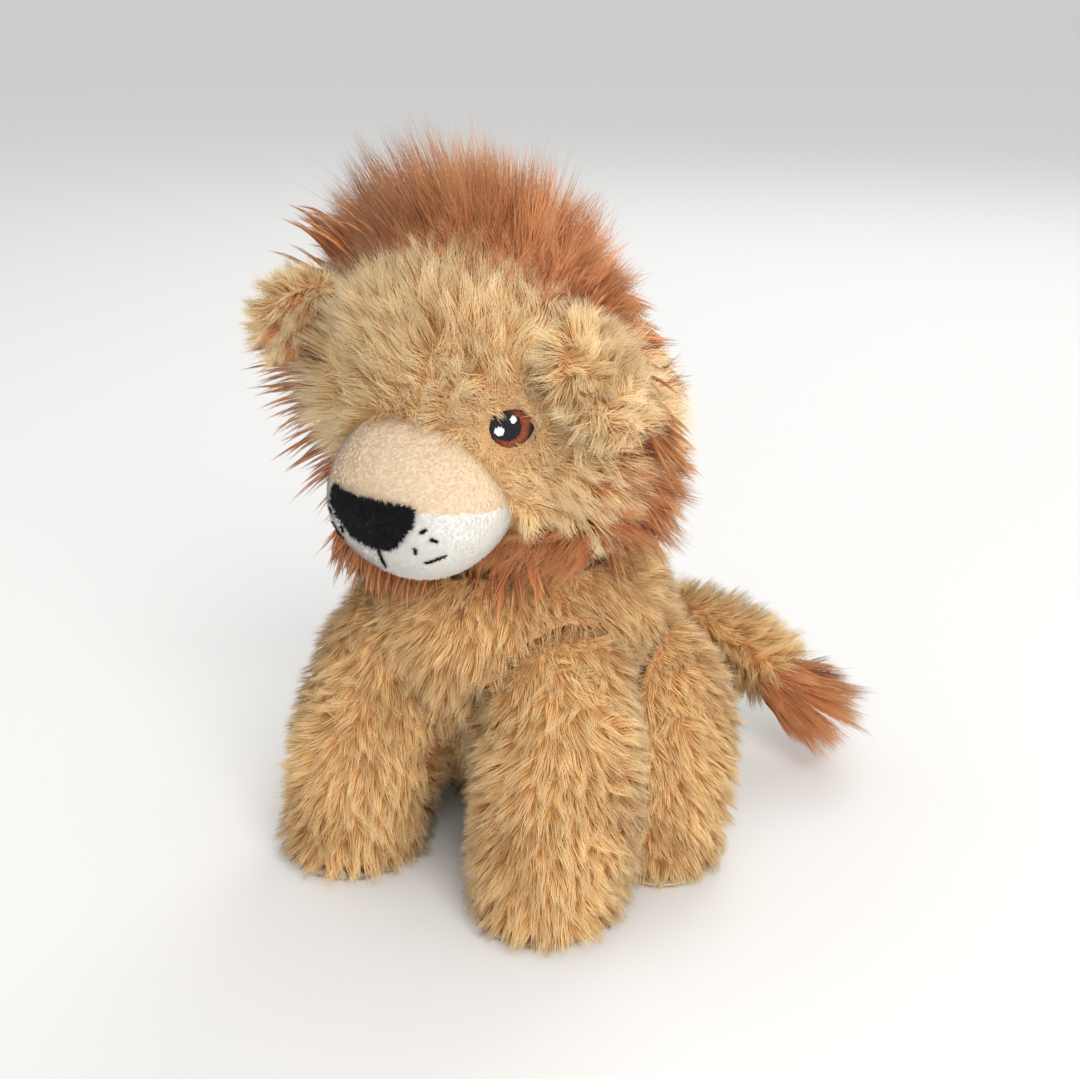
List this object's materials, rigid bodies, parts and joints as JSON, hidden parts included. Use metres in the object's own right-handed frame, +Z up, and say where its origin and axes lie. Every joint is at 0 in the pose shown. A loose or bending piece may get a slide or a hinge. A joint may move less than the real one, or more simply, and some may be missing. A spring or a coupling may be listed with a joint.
{
  "type": "plush lion",
  "caption": "Sitting plush lion with a stuffed body, soft legs, a turning head, folding ears, a mane and a curved tail with a tuft.",
  "frame": {"origin": "on the flat seat, in the middle from side to side, where the toy rests on the ground", "axes": "+Z up; the body looks along -Y; +X is the lion's own left"},
  "size_m": [0.1244, 0.133, 0.1769],
  "materials": {
    "tan_fur": "long tan plush pile",
    "rust_fur": "long glossy rust-brown pile",
    "cream_velour": "short cream velour",
    "white_velour": "short off-white velour",
    "black_thread": "satin stitches in black thread",
    "brown_thread": "satin stitches in brown thread",
    "white_thread": "satin stitches in white thread",
    "filling": "matt fibre filling"
  },
  "bodies": {
    "body": {"body_cover_left": "tan_fur", "body_cover_right": "tan_fur", "seat_panel": "tan_fur", "body_stuffing": "filling", "pellet_bag": "filling"},
    "neck": {"neck_stuffing": "filling"},
    "tail_root": {"tail_root_stuffing": "filling"},
    "tail": {"tail_cover": "tan_fur", "tail_stuffing": "filling", "tail_tuft": "rust_fur"},
    "ear_left": {"ear_cover_left": "tan_fur", "ear_lining_left": "rust_fur"},
    "front_leg_left": {"front_leg_cover_left": "tan_fur", "front_leg_stuffing_left": "filling", "front_sole_left": "cream_velour"},
    "hind_leg_left": {"hind_leg_cover_left": "tan_fur", "hind_leg_stuffing_left": "filling", "hind_sole_left": "cream_velour"},
    "ear_right": {"ear_cover_right": "tan_fur", "ear_lining_right": "rust_fur"},
    "front_leg_right": {"front_leg_cover_right": "tan_fur", "front_leg_stuffing_right": "filling", "front_sole_right": "cream_velour"},
    "hind_leg_right": {"hind_leg_cover_right": "tan_fur", "hind_leg_stuffing_right": "filling", "hind_sole_right": "cream_velour"},
    "head": {"eye_glint_left_1": "white_thread", "eye_glint_left_2": "white_thread", "eye_glint_right_1": "white_thread", "eye_glint_right_2": "white_thread", "eye_iris_left": "brown_thread", "eye_iris_right": "brown_thread", "eye_outline_left": "black_thread", "eye_outline_right": "black_thread", "eye_pupil_left": "black_thread", "eye_pupil_right": "black_thread", "face_cover": "tan_fur", "head_back_cover": "rust_fur", "head_stuffing": "filling", "mane_crest": "rust_fur", "mane_locks_left": "rust_fur", "mane_locks_right": "rust_fur", "mane_ruff": "rust_fur", "mouth_stitch": "black_thread", "muzzle_chin": "white_velour", "muzzle_top": "cream_velour", "nose": "black_thread", "smile_stitch_left": "black_thread", "smile_stitch_right": "black_thread", "whisker_stitch_left_1": "black_thread", "whisker_stitch_left_2": "black_thread", "whisker_stitch_left_3": "black_thread", "whisker_stitch_right_1": "black_thread", "whisker_stitch_right_2": "black_thread", "whisker_stitch_right_3": "black_thread"}
  },
  "joints": [
    {"name": "head_turn", "type": "hinge", "parent": "body", "child": "neck", "pos_m": [0, -0.01, 0.08], "axis": [0, 0, 1], "range_deg": [-25, 25], "stiffness_Nm_per_rad": 0.15},
    {"name": "head_nod", "type": "hinge", "parent": "neck", "child": "head", "pos_m": [0, -0.01, 0.08], "axis": [1, 0, 0], "range_deg": [-18, 3], "stiffness_Nm_per_rad": 0.25},
    {"name": "ear_fold_left", "type": "hinge", "parent": "head", "child": "ear_left", "pos_m": [0.04033, -0.03678, 0.13279], "axis": [-0.593, -0.1746, 0.7861], "range_deg": [-15, 50], "stiffness_Nm_per_rad": 0.01},
    {"name": "ear_fold_right", "type": "hinge", "parent": "head", "child": "ear_right", "pos_m": [-0.04171, -0.02525, 0.13279], "axis": [0.5219, -0.3313, 0.7861], "range_deg": [-50, 30], "stiffness_Nm_per_rad": 0.01},
    {"name": "front_leg_swing_left", "type": "hinge", "parent": "body", "child": "front_leg_left", "pos_m": [0.025, -0.028, 0.05], "axis": [1, 0, 0], "range_deg": [-15, 0], "stiffness_Nm_per_rad": 0.2},
    {"name": "front_leg_swing_right", "type": "hinge", "parent": "body", "child": "front_leg_right", "pos_m": [-0.025, -0.028, 0.05], "axis": [1, 0, 0], "range_deg": [-15, 0], "stiffness_Nm_per_rad": 0.2},
    {"name": "hind_leg_swing_left", "type": "hinge", "parent": "body", "child": "hind_leg_left", "pos_m": [0.0338, 0.006, 0.025], "axis": [1, 0, 0], "range_deg": [0, 10], "stiffness_Nm_per_rad": 0.2},
    {"name": "hind_leg_swing_right", "type": "hinge", "parent": "body", "child": "hind_leg_right", "pos_m": [-0.0338, 0.006, 0.025], "axis": [1, 0, 0], "range_deg": [0, 10], "stiffness_Nm_per_rad": 0.2},
    {"name": "tail_swing", "type": "hinge", "parent": "body", "child": "tail_root", "pos_m": [0.002, 0.0415, 0.03], "axis": [0, 0, 1], "range_deg": [-30, 30], "stiffness_Nm_per_rad": 0.06},
    {"name": "tail_lift", "type": "hinge", "parent": "tail_root", "child": "tail", "pos_m": [0.002, 0.0415, 0.03], "axis": [1, 0, 0], "range_deg": [-20, 20], "stiffness_Nm_per_rad": 0.06}
  ]
}
